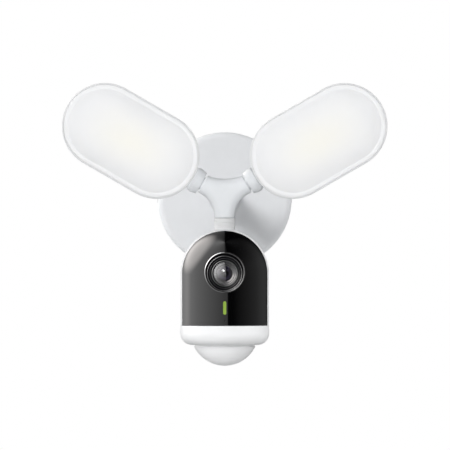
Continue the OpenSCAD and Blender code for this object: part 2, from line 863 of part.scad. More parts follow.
module tilt_cradle() color(SHELL) at_camera() difference() {
    inner_front = cradle_front + cradle_wall;
    rotate([90, 0, 90]) linear_extrude(2 * cradle_out, center = true) cradle_view(cradle_front, cradle_low);
    rotate([90, 0, 90]) linear_extrude(2 * cradle_in, center = true) {
        cradle_view(inner_front, cradle_low + cradle_wall);
        translate([inner_front, 20]) square([CUT, CUT]);
    }
    rotate([0, 90, 0]) cylinder(r = pin_r + pin_fit, h = CUT, center = true);
}

module tilt_pin() color(STEEL) at_camera() rotate([0, 90, 0]) {
    cylinder(r = pin_r, h = 2 * cradle_out + pin_r, center = true);
    translate([0, 0, cradle_out]) cylinder(r = 1.5 * pin_r, h = 2, $fn = 48);
}

// Ring with a softened lip, on a ledge that traps it behind the panel and carries the funnel
module lens_bezel() color(BLACK) at_lens() rotate_extrude() polygon([
    [bezel_ledge[0], -bezel_back], [bezel_ledge[1], -bezel_back], [bezel_ledge[1], -bezel_seat],
    [bezel_r, -bezel_seat], [bezel_r, -bezel_front - bezel_lip], [bezel_r - bezel_lip, -bezel_front],
    [bezel_in + bezel_lip, -bezel_front], [bezel_in, -bezel_front - bezel_lip],
    [bezel_in, -bezel_seat], [bezel_ledge[0], -bezel_seat]
]);

// Black cone round the lens barrel, with a skirt that stands on the bezel's ledge
module lens_funnel() color(BLACK) at_optics() rotate_extrude() polygon([
    [funnel_in, -funnel_deep], [funnel_out - funnel_rim, -funnel_front], [funnel_out, -funnel_front],
    [funnel_out, -bezel_seat], [funnel_out - funnel_t, -bezel_seat],
    [funnel_out - funnel_t, -funnel_deep + 0.8], [funnel_in, -funnel_deep - funnel_t]
]);

module lens_barrel() color(BLACK) at_optics() rotate_extrude() polygon([
    [barrel_bore_r, -barrel_back], [barrel_neck_r, -barrel_back], [barrel_neck_r, -barrel_neck_front],
    [barrel_r, -barrel_neck_front], [barrel_r, -barrel_front], [lens_r + 0.1, -barrel_front],
    [lens_r + 0.1, -glass_seat], [barrel_bore_r, -glass_seat]
]);

module front_lens() color(GLASS) at_optics() intersection() {
    translate([0, 0, -glass_front - glass_dome_r]) sphere(glass_dome_r);
    translate([0, 0, -glass_seat + 2 * EPS]) cylinder(r = lens_r, h = 10);
}

module iris_ring() color(DARK) at_optics() tube(iris_r, iris_in, -iris_y, -iris_y + iris_t);

// Chip on the front of a board, from its low to its high corner in X and Z
module chip(board_y, low, high, height)
    box([low.x, board_y - height, low.y], [high.x, board_y + EPS, high.y]);

module sensor_board() color(BOARD) at_camera() translate([0, 0, lens_z - lens_drop]) {
    box([-sensor_board_half, sensor_board_y, -sensor_board_half],
        [sensor_board_half, sensor_board_y + board_thick, sensor_board_half]);
    chip(sensor_board_y, [-5, -4], [5, 4], 1.4);
}

module main_board() color(BOARD) at_camera() {
    box([-24, main_board_y, -50], [24, main_board_y + board_thick, 30]);
    chip(main_board_y, [-9, -24], [9, -8], 2);
    chip(main_board_y, [-20, -42], [-8, -32], 1.6);
    chip(main_board_y, [6, -46], [20, -34], 2.6);
    chip(main_board_y, [-22, 18], [-12, 26], 1.6);
}

module infrared_leds() color(GLASS) at_camera()
    for (side = [-1, 1], z = infrared_z)
        translate([side * infrared_at[0], infrared_at[1], z]) rotate([90, 0, 0]) {
            cylinder(r = infrared_r, h = 4.5, $fn = SMALL_FN);
            box([-infrared_base, -infrared_base, -board_thick], [infrared_base, infrared_base, EPS]);
        }

module microphone() color(STEEL) at_camera()
    translate([0, -40.9, mic_z]) rotate([90, 0, 0]) cylinder(r = 2.2, h = 1.6, $fn = SMALL_FN);

module speaker() color(BLACK) at_camera()
    translate([speaker_at.x, speaker_y, speaker_at.y]) rotate([-90, 0, 0]) {
        cylinder(r = speaker_r, h = speaker_r / 4);
        translate([0, 0, -speaker_r / 2]) cylinder(r = speaker_r * 0.6, h = speaker_r / 2 + EPS);
    }

module service_bay() color(SHELL) at_camera() difference() {
    intersection() {
        box([-bay_x - bay_wall, bay_floor_y - bay_floor_t, bay_z[0] - bay_wall],
            [bay_x + bay_wall, 60, bay_z[1] + bay_wall]);
        capsule(body_r - shell_t - 0.1, -body_drop);
    }
    box([-bay_x, bay_floor_y, bay_z[0]], [bay_x, 60, bay_z[1]]);
    translate([button_x, 20, service_z])
        rotate([-90, 0, 0])
            cylinder(r = button_r + pin_run, h = 30, $fn = 48);
    box([card_x - card_w / 2, 20, service_z - 0.7], [card_x + card_w / 2, 60, service_z + 0.7]);
}

module card_socket() color(STEEL) at_camera() difference() {
    back = bay_floor_y - bay_floor_t - 0.05;
    half = card_w / 2;
    box([card_x - half - 1.3, back - 14, service_z - 1.6], [card_x + half + 1.3, back, service_z + 1.6]);
    box([card_x - half, back - 12.5, service_z - 0.6], [card_x + half, back + 1, service_z + 0.6]);
}

module reset_button() color(BLACK) at_camera()
    translate([button_x, bay_floor_y - bay_floor_t - 1.2, service_z]) rotate([-90, 0, 0]) {
        cylinder(r = button_r, h = 5, $fn = 48);
        cylinder(r = 3, h = 1, $fn = 48);
    }

module service_flap() color(SHELL) at_camera() {
    intersection() {
        camera_shell(body_r, body_r - flap_t);
        box([-bay_x + flap_gap, 30, flap_axis[1] - 0.5], [bay_x - flap_gap, 60, bay_z[1] - flap_gap]);
    }
    translate([0, flap_axis[0], flap_axis[1]])
        rotate([0, 90, 0])
            cylinder(r = flap_hinge_r, h = 2 * (bay_x - flap_gap), center = true, $fn = 48);
}

canopy_cover();
canopy_gasket();
mounting_bracket();
canopy_screws();
ground_screw();
terminal_block();
driver_case();
y_arm();
arm_gasket();
arm_nut();
arm_lock_screws();
knuckle(-1);  // left_knuckle
swivel_oring(-1);  // left_swivel_oring
tilt_bolt(-1);  // left_tilt_bolt
tilt_nut(-1);  // left_tilt_nut
tilt_washers(-1);  // left_tilt_washers
head_housing(-1);  // left_head_housing
led_board(-1);  // left_led_board
leds(-1);  // left_leds
reflector(-1);  // left_reflector
diffuser_gasket(-1);  // left_gasket
diffuser(-1);  // left_diffuser
head_screws(-1);  // left_head_screws
knuckle(1);  // right_knuckle
swivel_oring(1);  // right_swivel_oring
tilt_bolt(1);  // right_tilt_bolt
tilt_nut(1);  // right_tilt_nut
tilt_washers(1);  // right_tilt_washers
head_housing(1);  // right_head_housing
led_board(1);  // right_led_board
leds(1);  // right_leds
reflector(1);  // right_reflector
diffuser_gasket(1);  // right_gasket
diffuser(1);  // right_diffuser
head_screws(1);  // right_head_screws
neck_stem();
pan_lock_ring();
tilt_cradle();
tilt_pin();
rear_shell();
front_panel();
shell_screws();
base_band();
pir_dome();
pir_sensor();
lens_bezel();
lens_funnel();
lens_barrel();
front_lens();
iris_ring();
sensor_board();
main_board();
infrared_leds();
status_light();
microphone();
speaker();
service_bay();
card_socket();
reset_button();
service_flap();
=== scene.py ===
import json
import math

import bmesh
import bpy
from mathutils import Matrix, Vector

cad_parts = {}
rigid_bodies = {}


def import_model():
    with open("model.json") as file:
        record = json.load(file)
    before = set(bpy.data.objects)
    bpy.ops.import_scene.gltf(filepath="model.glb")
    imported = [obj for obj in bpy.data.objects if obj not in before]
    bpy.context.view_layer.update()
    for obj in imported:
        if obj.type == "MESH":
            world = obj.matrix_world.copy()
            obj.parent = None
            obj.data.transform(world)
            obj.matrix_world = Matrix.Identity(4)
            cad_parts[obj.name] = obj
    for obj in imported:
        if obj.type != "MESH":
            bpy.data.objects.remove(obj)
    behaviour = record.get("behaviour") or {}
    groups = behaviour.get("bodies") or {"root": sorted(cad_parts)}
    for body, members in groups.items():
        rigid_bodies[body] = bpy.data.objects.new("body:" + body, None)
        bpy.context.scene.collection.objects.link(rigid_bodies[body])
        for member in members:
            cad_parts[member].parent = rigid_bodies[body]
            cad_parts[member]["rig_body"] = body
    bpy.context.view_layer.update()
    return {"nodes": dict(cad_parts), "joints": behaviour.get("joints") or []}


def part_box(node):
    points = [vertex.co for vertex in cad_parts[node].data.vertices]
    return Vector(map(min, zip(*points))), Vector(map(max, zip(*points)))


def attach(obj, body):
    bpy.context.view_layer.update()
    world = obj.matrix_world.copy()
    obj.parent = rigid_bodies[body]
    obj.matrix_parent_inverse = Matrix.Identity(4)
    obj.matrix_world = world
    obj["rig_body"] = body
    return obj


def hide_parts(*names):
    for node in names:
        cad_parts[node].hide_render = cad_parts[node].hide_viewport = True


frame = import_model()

MM = 0.001
NODES = frame["nodes"]
JOINTS = {joint["name"]: joint for joint in frame["joints"]}
UP = Vector((0, 0, 1))
FRONT = Vector((0, -1, 0))
SIDES = ("left", "right")


# ---- material nodes ----

class Graph:
    """A material's nodes, with short ways to add and join them."""

    def __init__(self, name):
        self.material = bpy.data.materials.new(name)
        self.material.use_nodes = True
        self.tree = self.material.node_tree
        self.shader = self.tree.nodes["Principled BSDF"]
        self.place = self.add("ShaderNodeTexCoord").outputs["Object"]

    def add(self, kind, **settings):
        node = self.tree.nodes.new(kind)
        for key, value in settings.items():
            setattr(node, key, value)
        return node

    def join(self, source, target):
        self.tree.links.new(source, target)

    def feed(self, node, index, value):
        """Sets an input to a number or colour, or links it to an output."""
        if hasattr(value, "is_output"):
            self.join(value, node.inputs[index])
        else:
            node.inputs[index].default_value = value

    def noise(self, size, detail=3.0, rough=0.5, place=None):
        """Noise with features of about that size, in millimetres."""
        node = self.add("ShaderNodeTexNoise")
        node.inputs["Scale"].default_value = 1 / (size * MM)
        node.inputs["Detail"].default_value = detail
        node.inputs["Roughness"].default_value = rough
        self.join(place or self.place, node.inputs["Vector"])
        return node.outputs["Fac"]

    def math(self, operation, first, second=0.0):
        node = self.add("ShaderNodeMath", operation=operation)
        self.feed(node, 0, first)
        self.feed(node, 1, second)
        return node.outputs[0]

    def vector(self, operation, first, second):
        node = self.add("ShaderNodeVectorMath", operation=operation)
        self.feed(node, 0, first)
        self.feed(node, 1, second)
        return node.outputs["Value" if operation in ("DOT_PRODUCT", "LENGTH") else "Vector"]

    def span(self, value, low, high, start=0.0, end=1.0, smooth=False):
        """Maps low..high to start..end, held inside that range."""
        node = self.add("ShaderNodeMapRange")
        node.interpolation_type = "SMOOTHSTEP" if smooth else "LINEAR"
        for index, number in enumerate((value, low, high, start, end)):
            self.feed(node, index, number)
        return node.outputs[0]

    def mix(self, amount, first, second):
        node = self.add("ShaderNodeMix", data_type="RGBA")
        self.feed(node, 0, amount)
        self.feed(node, 6, rgba(first))
        self.feed(node, 7, rgba(second))
        return node.outputs[2]

    def radius(self, middle, axis):
        """Distance from an axis through a point, in millimetres."""
        offset = self.vector("SUBTRACT", self.place, tuple(middle))
        cross = self.vector("CROSS_PRODUCT", offset, tuple(axis))
        return self.math("MULTIPLY", self.vector("LENGTH", cross, (0, 0, 0)), 1 / MM)

    def along(self, middle, axis):
        """Distance past a point along an axis, in millimetres."""
        offset = self.vector("SUBTRACT", self.place, tuple(middle))
        return self.math("MULTIPLY", self.vector("DOT_PRODUCT", offset, tuple(axis)), 1 / MM)

    def edge(self, radius):
        """Normal that rounds every sharp edge by a radius, in millimetres."""
        node = self.add("ShaderNodeBevel", samples=6)
        node.inputs["Radius"].default_value = radius * MM
        return node.outputs["Normal"]

    def bump(self, height, depth, strength=1.0, normal=None):
        """Bump whose height of 1 stands for that depth, in millimetres."""
        node = self.add("ShaderNodeBump")
        node.inputs["Strength"].default_value = strength
        node.inputs["Distance"].default_value = depth * MM
        self.join(height, node.inputs["Height"])
        if normal:
            self.join(normal, node.inputs["Normal"])
        return node.outputs["Normal"]

    def set(self, **values):
        """Sets or links the shader's sockets; names use _ for spaces."""
        for key, value in values.items():
            socket = self.shader.inputs[key.replace("_", " ")]
            if hasattr(value, "is_output"):
                self.join(value, socket)
            else:
                socket.default_value = value


def rgba(colour):
    if hasattr(colour, "is_output"):
        return colour
    return (*colour, 1.0) if len(colour) == 3 else colour


# ---- materials ----

def moulded(name, colour, rough=0.4, grain=0.35, depth=0.03, edge=0.35):
    """Moulded or powder-coated surface: fine grain, slow tone changes and uneven sheen."""
    g = Graph(name)
    slow = g.span(g.noise(45, 2), 0.3, 0.7, -0.012, 0.012)
    mottle = g.span(g.noise(6, 4), 0.3, 0.7, -0.006, 0.006)
    g.set(
        Base_Color=g.mix(
            g.span(g.math("ADD", slow, mottle), -0.018, 0.018),
            [part * 0.965 for part in colour], [min(1.0, part * 1.015) for part in colour],
        ),
        Roughness=g.span(g.noise(9, 4), 0.3, 0.7, rough - 0.05, rough + 0.06),
        Normal=g.bump(g.noise(grain, 3, 0.6), depth, 0.5, g.edge(edge)),
        IOR=1.48,
    )
    return g.material


def polished(name, colour, rough=0.05, edge=0.25, ior=1.5):
    """Polished black plastic with faint smudges, specks of dust and a slight moulding ripple."""
    g = Graph(name)
    g.set(
        Base_Color=g.mix(
            g.span(g.noise(0.5, 2), 0.68, 0.8), colour, [part + 0.0015 for part in colour],
        ),
        Roughness=g.span(g.noise(14, 5, 0.65), 0.4, 0.75, rough, rough + 0.04),
        Normal=g.bump(g.noise(30, 1), 0.01, 0.2, g.edge(edge)),
        IOR=ior,
    )
    return g.material


def rubber(name, colour):
    g = Graph(name)
    g.set(
        Base_Color=g.mix(g.span(g.noise(5, 4), 0.3, 0.7), [part * 0.8 for part in colour], colour),
        Roughness=g.span(g.noise(3, 4), 0.3, 0.7, 0.62, 0.8),
        Normal=g.bump(g.noise(0.25, 3), 0.05, 0.7, g.edge(0.3)),
    )
    return g.material


def metal(name, colour, rough=0.32):
    """Zinc-plated steel with fine turning marks."""
    g = Graph(name)
    stretch = g.add("ShaderNodeMapping")
    stretch.inputs["Scale"].default_value = (1, 14, 1)
    g.join(g.place, stretch.inputs["Vector"])
    marks = g.noise(1.2, 4, 0.6, stretch.outputs["Vector"])
    g.set(
        Base_Color=g.mix(g.span(g.noise(4, 4), 0.3, 0.7), [part * 0.82 for part in colour], colour),
        Metallic=1.0,
        Roughness=g.span(marks, 0.3, 0.7, rough - 0.08, rough + 0.12),
        Normal=g.bump(marks, 0.02, 0.5, g.edge(0.25)),
    )
    return g.material


def circuit(name, colour):
    """Solder mask over copper tracks."""
    g = Graph(name)
    track = g.add("ShaderNodeTexVoronoi", feature="DISTANCE_TO_EDGE")
    track.inputs["Scale"].default_value = 1 / (3.2 * MM)
    g.join(g.place, track.inputs["Vector"])
    line = g.span(track.outputs["Distance"], 0.03, 0.08, 1, 0)
    g.set(
        Base_Color=g.mix(line, colour, [part * 1.6 + 0.01 for part in colour]),
        Roughness=g.span(g.noise(2, 3), 0.3, 0.7, 0.32, 0.5),
        Normal=g.bump(line, 0.04, 0.6),
    )
    return g.material


def frosted(name, side):
    """Frosted diffuser: milky plastic with the warm LED field showing softly through its middle."""
    g = Graph(name)
    head = Head(side)
    glow_length = 62
    glow_width = 36
    fades = [
        g.span(g.math("ABSOLUTE", g.along(head.middle, axis)), 0, reach, 1, 0, smooth=True)
        for axis, reach in ((head.along, glow_length), (head.across, glow_width))
    ]
    glow = g.math("MULTIPLY", *fades)
    haze = g.span(g.noise(30, 2), 0.3, 0.7)
    g.set(
        Base_Color=g.mix(
            glow, g.mix(haze, (0.82, 0.823, 0.83), (0.805, 0.808, 0.815)), (0.835, 0.825, 0.775),
        ),
        Roughness=g.span(g.noise(7, 4), 0.3, 0.7, 0.34, 0.44),
        Normal=g.bump(g.noise(0.3, 3), 0.015, 0.5),
        Subsurface_Weight=0.15,
        Subsurface_Radius=(0.004, 0.0038, 0.0034),
        Subsurface_Scale=1.0,
        Emission_Color=g.mix(glow, (0.42, 0.42, 0.43), (1.0, 0.96, 0.8)),
        Emission_Strength=0.03,
    )
    return g.material


def milky(name, middle):
    """Milky motion-sensor dome; its lens rings show faintly from inside."""
    g = Graph(name)
    ring_spacing = 2.2
    ring = g.span(g.math("PINGPONG", g.along(middle, UP), ring_spacing), 0.0, 0.35, 1, 0, smooth=True)
    g.set(
        Base_Color=g.mix(g.math("MULTIPLY", ring, 0.16), (0.92, 0.925, 0.93), (0.76, 0.77, 0.775)),
        Roughness=g.span(g.noise(6, 4), 0.3, 0.7, 0.30, 0.4),
        Normal=g.bump(g.noise(0.3, 3), 0.015, 0.4),
        Subsurface_Weight=0.2,
        Subsurface_Radius=(0.004, 0.004, 0.0038),
        Subsurface_Scale=1.0,
    )
    return g.material


def lit(name, colour, glow, strength):
    """Small light guide or phosphor that glows a little."""
    g = Graph(name)
    g.set(
        Base_Color=g.mix(g.span(g.noise(0.8, 3), 0.3, 0.7), [part * 0.9 for part in colour], colour),
        Roughness=g.span(g.noise(1.5, 3), 0.3, 0.7, 0.25, 0.4),
        Emission_Color=(*glow, 1),
        Emission_Strength=strength,
    )
    return g.material


def glass(name, tint, ior):
    g = Graph(name)
    g.set(
        Base_Color=g.mix(g.span(g.noise(4, 2), 0.3, 0.7), tint, [min(1, part * 1.08) for part in tint]),
        Roughness=g.span(g.noise(3, 3), 0.45, 0.75, 0.0, 0.02),
        Transmission_Weight=1.0,
        IOR=ior,
    )
    return g.material


def painted_pupil_lens(name, middle, pupil):
    """Inner lens element: dark glass, with painted shade that makes its middle black where the pupil shows
    the dark inside of the lens, and a painted violet coating reflection towards its rim.
    """
    g = Graph(name)
    # Painted shade: black inside the pupil's radius, fading out to a painted violet coating reflection
    # further out
    pupil_shade_fade = g.span(g.radius(middle, FRONT), pupil, pupil * 1.9, smooth=True)
    g.set(
        Base_Color=g.mix(pupil_shade_fade, (0.002, 0.002, 0.003), (0.035, 0.03, 0.05)),
        Roughness=g.span(g.noise(4, 3), 0.3, 0.7, 0.02, 0.05),
        IOR=1.25,
    )
    return g.material


# ---- shapes ----

class Head:
    """Place, directions and outline of a lamp head, from its diffuser's box."""

    def __init__(self, side):
        self.along = Vector(JOINTS[side + "_swivel"]["axis"]).normalized()
        self.across = (UP - UP.dot(self.along) * self.along).normalized()
        low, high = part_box(side + "_diffuser")
        self.middle = (low + high) / 2
        size = (high - low) / MM
        rise = abs(self.along.z)
        run = abs(self.along.x)
        self.half = (size.x - size.z) / 2 / (run - rise)
        self.radius = size.z / 2 - self.half * rise
        self.depth = size.y
        self.back = placing(Vector((self.middle.x, high.y, self.middle.z)), FRONT, self.along)


def placing(origin, up, right):
    """Matrix from millimetres to the frame, with Z along up and X near right."""
    z = up.normalized()
    x = (right - right.dot(z) * z).normalized()
    turn = Matrix((x, z.cross(x), z)).transposed().to_4x4()
    return Matrix.Translation(origin) @ turn @ Matrix.Scale(MM, 4)


def rounded(corners, steps=6):
    """Closed outline from corners (x, y) or (x, y, setback); a setback rounds the corner with an arc."""
    outline = []
    for index, corner in enumerate(corners):
        point = Vector(corner[:2])
        if len(corner) < 3:
            outline.append(point)
            continue
        before = (Vector(corners[index - 1][:2]) - point).normalized()
        after = (Vector(corners[(index + 1) % len(corners)][:2]) - point).normalized()
        half = before.angle(after) / 2
        centre = point + (before + after).normalized() * corner[2] / math.cos(half)
        start = point + before * corner[2] - centre
        sweep = math.pi - 2 * half
        if before.cross(after) > 0:
            sweep = -sweep
        outline += [centre + Matrix.Rotation(sweep * k / steps, 2) @ start for k in range(steps + 1)]
    return outline


def arc(radius, middle, angle, steps, facing=1):
    """Section points of a circle about a height on the axis, from its pole round to that angle."""
    turns = [angle * k / steps for k in range(steps + 1)]
    return [(radius * math.sin(turn), middle + facing * radius * math.cos(turn)) for turn in turns]


def sweep(name, outline, place, half=0.0, steps=96, sharp=35):
    """Solid from a half section that runs round a line of that half length, or round a point."""
    bm = bmesh.new()
    path = [
        (end * half, math.pi * (k / steps - 0.5 + (end < 0)))
        for end in (1, -1)
        for k in range(steps + 1)
    ]
    rings = [
        [bm.verts.new(place @ Vector((x + r * math.cos(a), r * math.sin(a), h))) for x, a in path]
        for r, h in outline
    ]
    for index, ring in enumerate(rings):
        for k in range(len(path)):
            face = (rings[index - 1][k - 1], rings[index - 1][k], ring[k], ring[k - 1])
            bm.faces.new(face)
    bmesh.ops.remove_doubles(bm, verts=bm.verts, dist=1e-6)
    bmesh.ops.dissolve_degenerate(bm, edges=bm.edges, dist=1e-7)
    bmesh.ops.recalc_face_normals(bm, faces=bm.faces)
    mesh = bpy.data.meshes.new(name)
    bm.to_mesh(mesh)
    bm.free()
    return finished(name, mesh, sharp)


def finished(name, mesh, sharp):
    """Object for a mesh, shaded smooth except over edges sharper than that many degrees."""
    mesh.shade_smooth()
    mesh.set_sharp_from_angle(angle=math.radians(sharp))
    piece = bpy.data.objects.new(name, mesh)
    bpy.context.scene.collection.objects.link(piece)
    weigh = piece.modifiers.new("even_normals", "WEIGHTED_NORMAL")
    weigh.keep_sharp = True
    return piece


def stand_for(piece, body, slot, material, *nodes):
    """Puts a piece on its body in place of CAD nodes, with its finish."""
    piece.data.materials.clear()
    piece.data.materials.append(material)
    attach(piece, body)
    if nodes:
        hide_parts(*nodes)


# ---- lamp heads ----

# Flange's height, how far the face starts inside the outline, and the cover's thickness, in millimetres;
# a higher power makes the face flatter in its middle
FLANGE_H = 3.6
FOOT_IN = 4.55
SKIN = 2.0
FACE_POWER = 3.4


def make_diffuser(side, material):
    """Pillow-shaped cover: a narrow crowned flange round a face that swells towards its middle."""
    head = Head(side)
    foot = head.radius - FOOT_IN
    rise = head.depth - FLANGE_H

    def face(r):
        return FLANGE_H + rise * (1 - (r / foot) ** FACE_POWER)

    def reaches(end, steps):
        return [end * math.sin(math.pi / 2 * k / steps) for k in range(steps + 1)]

    inner = foot - SKIN * 1.2
    top = [(r, face(r)) for r in reaches(foot - 1.2, 26)]
    under = [(r, face(r) - SKIN) for r in reaches(inner, 14)]
    flange = [
        (foot, FLANGE_H, 0.8), (foot + 1.6, FLANGE_H + 0.1, 0.6), (head.radius, FLANGE_H - 0.35, 0.7),
        (head.radius, 0), (inner, 0),
    ]
    outline = rounded(top + flange + under[::-1])
    piece = sweep(side + "_light_cover", outline, head.back, head.half)
    stand_for(piece, side + "_lamp", "frosted", material, side + "_diffuser")


# ---- arm ----

# Grid that the arm's skin is rebuilt on, in millimetres
ARM_VOXEL = 0.8


def make_arm(material):
    """Skin of the cast arm: the CAD solid with its facets smoothed out."""
    mesh = NODES["y_arm"].data.copy()
    piece = bpy.data.objects.new("cast_arm", mesh)
    bpy.context.scene.collection.objects.link(piece)
    remesh = piece.modifiers.new("even", "REMESH")
    remesh.mode = "VOXEL"
    remesh.voxel_size = ARM_VOXEL * MM
    smooth = piece.modifiers.new("smooth", "SMOOTH")
    smooth.factor = 0.5
    smooth.iterations = 6
    bpy.context.view_layer.update()
    solid = bpy.data.meshes.new_from_object(piece.evaluated_get(bpy.context.evaluated_depsgraph_get()))
    bpy.data.objects.remove(piece)
    solid.shade_smooth()
    piece = bpy.data.objects.new("cast_arm", solid)
    bpy.context.scene.collection.objects.link(piece)
    stand_for(piece, "mount", "white_cast", material, "y_arm")


# ---- camera ----

def make_neck_sleeve(material):
    """Ribbed sleeve round the neck, between the pan ring and the camera's dome."""
    ring_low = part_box("pan_lock_ring")[0].z
    place = upright(ring_low)
    pitch = 1.85
    count = 4
    bore = 10.3
    groove = 10.45
    outer = 10.85
    first = -0.3
    gap = 0.25
    slope = 0.15
    soft = 0.1
    outline = [(bore, first + 0.05)]
    for rib in range(count):
        top = first - rib * pitch
        low = top - pitch + gap
        outline += [(groove, top), (outer, top - slope, soft), (outer, low + slope, soft), (groove, low)]
    outline.append((bore, low))
    stand_for(sweep("neck_sleeve", rounded(outline, 3), place), "neck", "white_plastic", material)


def dome_centre():
    return Vector(JOINTS["camera_tilt"]["pos_m"])


def upright(height):
    """Placing with Z up the camera's own vertical axis, from that height."""
    return placing(Vector((0, dome_centre().y, height)), UP, Vector((1, 0, 0)))


def make_band(material):
    """White base band with a large rounded lower edge and a bore for the sensor dome's neck."""
    low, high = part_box("base_band")
    radius = (high.x - low.x) / 2 / MM
    height = (high.z - low.z) / MM
    wall = 2.6
    round_low = 12.5
    dome_low, dome_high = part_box("pir_dome")
    step_in = 6.35
    neck = (dome_high.x - dome_low.x) / 2 / MM - step_in
    place = upright(low.z)
    outline = rounded([
        (neck, 0, 0.25), (radius, 0, round_low), (radius, height, 0.35), (radius - wall, height),
        (radius - wall, wall, round_low - wall), (neck, wall),
    ], 16)
    piece = sweep("lower_band", outline, place)
    stand_for(piece, "camera", "white_plastic", material, "base_band")


def make_dome(material):
    """Sensor dome on a recessed neck, which leaves a shadow line under the band."""
    low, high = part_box("pir_dome")
    band_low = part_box("base_band")[0].z
    place = upright(low.z)
    radius = 35.3
    wall = 1.6
    neck = 31.0
    shadow_gap = 1.4
    shoulder = (band_low - low.z) / MM - shadow_gap
    top = (high.z - low.z) / MM

    def bowl(r, height, steps):
        return arc(r, radius, math.acos((radius - height) / r), steps, facing=-1)

    outer = bowl(radius, shoulder - 0.3, 40)
    inner = bowl(radius - wall, shoulder, 24)
    edge = outer[-1][0]
    outline = rounded([
        *outer, (edge + 0.08, shoulder, 0.2), (neck, shoulder), (neck, top), (neck - wall, top), *inner[::-1],
    ])
    piece = sweep("sensor_bulb", outline, place)
    stand_for(piece, "camera", "sensor_dome", material, "pir_dome")


def make_pan_ring(material):
    low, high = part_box("pan_lock_ring")
    radius = (high.x - low.x) / 2 / MM
    height = (high.z - low.z) / MM
    place = upright(low.z)
    bore = 6.1
    outline = rounded([(radius, 0, 0.5), (radius, height, 0.5), (bore, height), (bore, 0)])
    piece = sweep("pan_ring", outline, place)
    stand_for(piece, "neck", "white_plastic", material, "pan_lock_ring")


def lens_placing(node):
    """Placing with Z to the front along a round node's axis, and zero height on the camera's own axis."""
    low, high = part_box(node)
    return placing(Vector(((low.x + high.x) / 2, dome_centre().y, (low.z + high.z) / 2)), FRONT, UP)


def trim_ring(name, radius, height, thick, place, material):
    """Thin round wire that catches the light on the edge of a lens part."""
    half = thick / 2
    outline = [
        (radius + half * math.cos(turn), height + half * math.sin(turn))
        for turn in (math.tau * k / 12 for k in range(12))
    ]
    stand_for(sweep(name, outline, place, steps=128), "camera", "black_gloss", material)


# Heights run forward from the camera's axis, and half sections are (distance from the lens axis, height)
LENS_SEAT = 36.2


def make_bezel(dark, bright):
    """Black ring with a bright chamfer round its front."""
    place = lens_placing("lens_bezel")
    flange = 22.5
    outer = 21
    bore = 19.4
    ledge = 14.6
    back = 34.8
    front = 47
    ring = rounded([
        (flange, back), (flange, LENS_SEAT), (outer, LENS_SEAT), (outer, front), (19.9, front),
        (19.9, 47.9, 0.2), (bore, 47.5, 0.2), (bore, LENS_SEAT), (ledge, LENS_SEAT), (ledge, back),
    ])
    stand_for(sweep("lens_ring", ring, place), "camera", "black_gloss", dark, "lens_bezel")
    lip = rounded([
        (outer, front - 0.1), (outer, front + 0.7, 0.12), (20.2, 48.55, 0.15), (19.85, 48.3, 0.1),
        (19.85, front - 0.1),
    ])
    stand_for(sweep("bezel_lip", lip, place, steps=128), "camera", "black_gloss", bright)


def make_throat(dark, bright, grey):
    """Stepped black funnel inside the bezel, with two edges that catch the light."""
    place = lens_placing("front_lens")
    outer = 18.3
    wall_in = 16.9
    mouth = 13.5
    throat = rounded([
        (outer, LENS_SEAT), (outer, 46.6, 0.35), (17.3, 46.5, 0.3), (16.6, 45.2, 0.2), (15.7, 44.7, 0.12),
        (15.4, 45.0, 0.12), (15.1, 44.4, 0.12), (13.9, 43.2, 0.2), (mouth, 41.6), (wall_in, 42.6),
        (wall_in, LENS_SEAT),
    ])
    stand_for(sweep("lens_throat", throat, place), "camera", "black_matte", dark, "lens_funnel")
    trim_ring("throat_edge", 17.85, 46.55, 0.55, place, bright)
    trim_ring("throat_ridge", 15.4, 44.85, 0.35, place, grey)


def make_cell(grey, bright):
    """Stepped cell that holds the glass, with two edges that catch the light."""
    place = lens_placing("front_lens")
    trim_ring("cell_edge", 12.95, 42.85, 0.6, place, bright)
    trim_ring("cell_step", 9.5, 37.75, 0.5, place, bright)
    outer = 13.4
    bore = 8.0
    barrel = 11
    shoulder = 34
    back = 20
    cell = rounded([
        (outer, shoulder), (outer, 42.9, 0.4), (12.55, 42.9, 0.35), (12.5, 39.6, 0.2), (11.4, 39.2, 0.2),
        (9.8, 37.6, 0.2), (9.2, 37.4, 0.2), (8.1, 35.2, 0.2), (bore, back), (barrel, back),
        (barrel, shoulder),
    ])
    stand_for(sweep("lens_cell", cell, place), "camera", "black_matte", grey, "lens_barrel")


def make_glass():
    """Domed front glass, and the inner lens behind it, painted with the pupil's shade and a violet coating
    reflection.
    """
    place = lens_placing("front_lens")
    dome = 18.0
    thick = 1.8
    front = 43.5
    rim = 12.4
    outside, inside = (
        arc(r, front - dome, math.asin(rim / r), steps) for r, steps in ((dome, 20), (dome - thick, 14))
    )
    clear = glass("clear_glass", (0.97, 0.96, 0.98), 1.75)
    shell = sweep("lens_glass", rounded(outside + inside[::-1]), place)
    stand_for(shell, "camera", "lens_glass", clear, "front_lens")
    eye = arc(9.0, 29.2, 1.05, 16)
    back = 30
    pupil = 2.6
    # Inner lens paint: painted shade in the pupil and a painted violet coating reflection round it
    painted_lens_tint = painted_pupil_lens("painted_violet_sheen_and_pupil_shade", Vector(place.translation), pupil)
    inner = sweep("inner_lens", rounded([*eye, (eye[-1][0], back), (0, back)]), place)
    stand_for(inner, "camera", "lens_glass", painted_lens_tint, "iris_ring")


def make_lens():
    dark = polished("throat_black", (0.004, 0.004, 0.005), 0.3, 0.1, 1.12)
    bright = polished("ring_gloss", (0.006, 0.006, 0.006), 0.07, 0.05, 2.6)
    grey = polished("cell_gloss", (0.035, 0.035, 0.037), 0.14, 0.1, 1.5)
    make_bezel(dark, bright)
    make_throat(dark, bright, grey)
    make_cell(grey, bright)
    make_glass()


# ---- finishes of the CAD nodes ----

def assign(material, *names):
    for name in names:
        mesh = NODES[name].data
        mesh.materials.clear()
        mesh.materials.append(material)
        for face in mesh.polygons:
            face.material_index = 0


def both(*names):
    return [f"{side}_{name}" for side in SIDES for name in names]


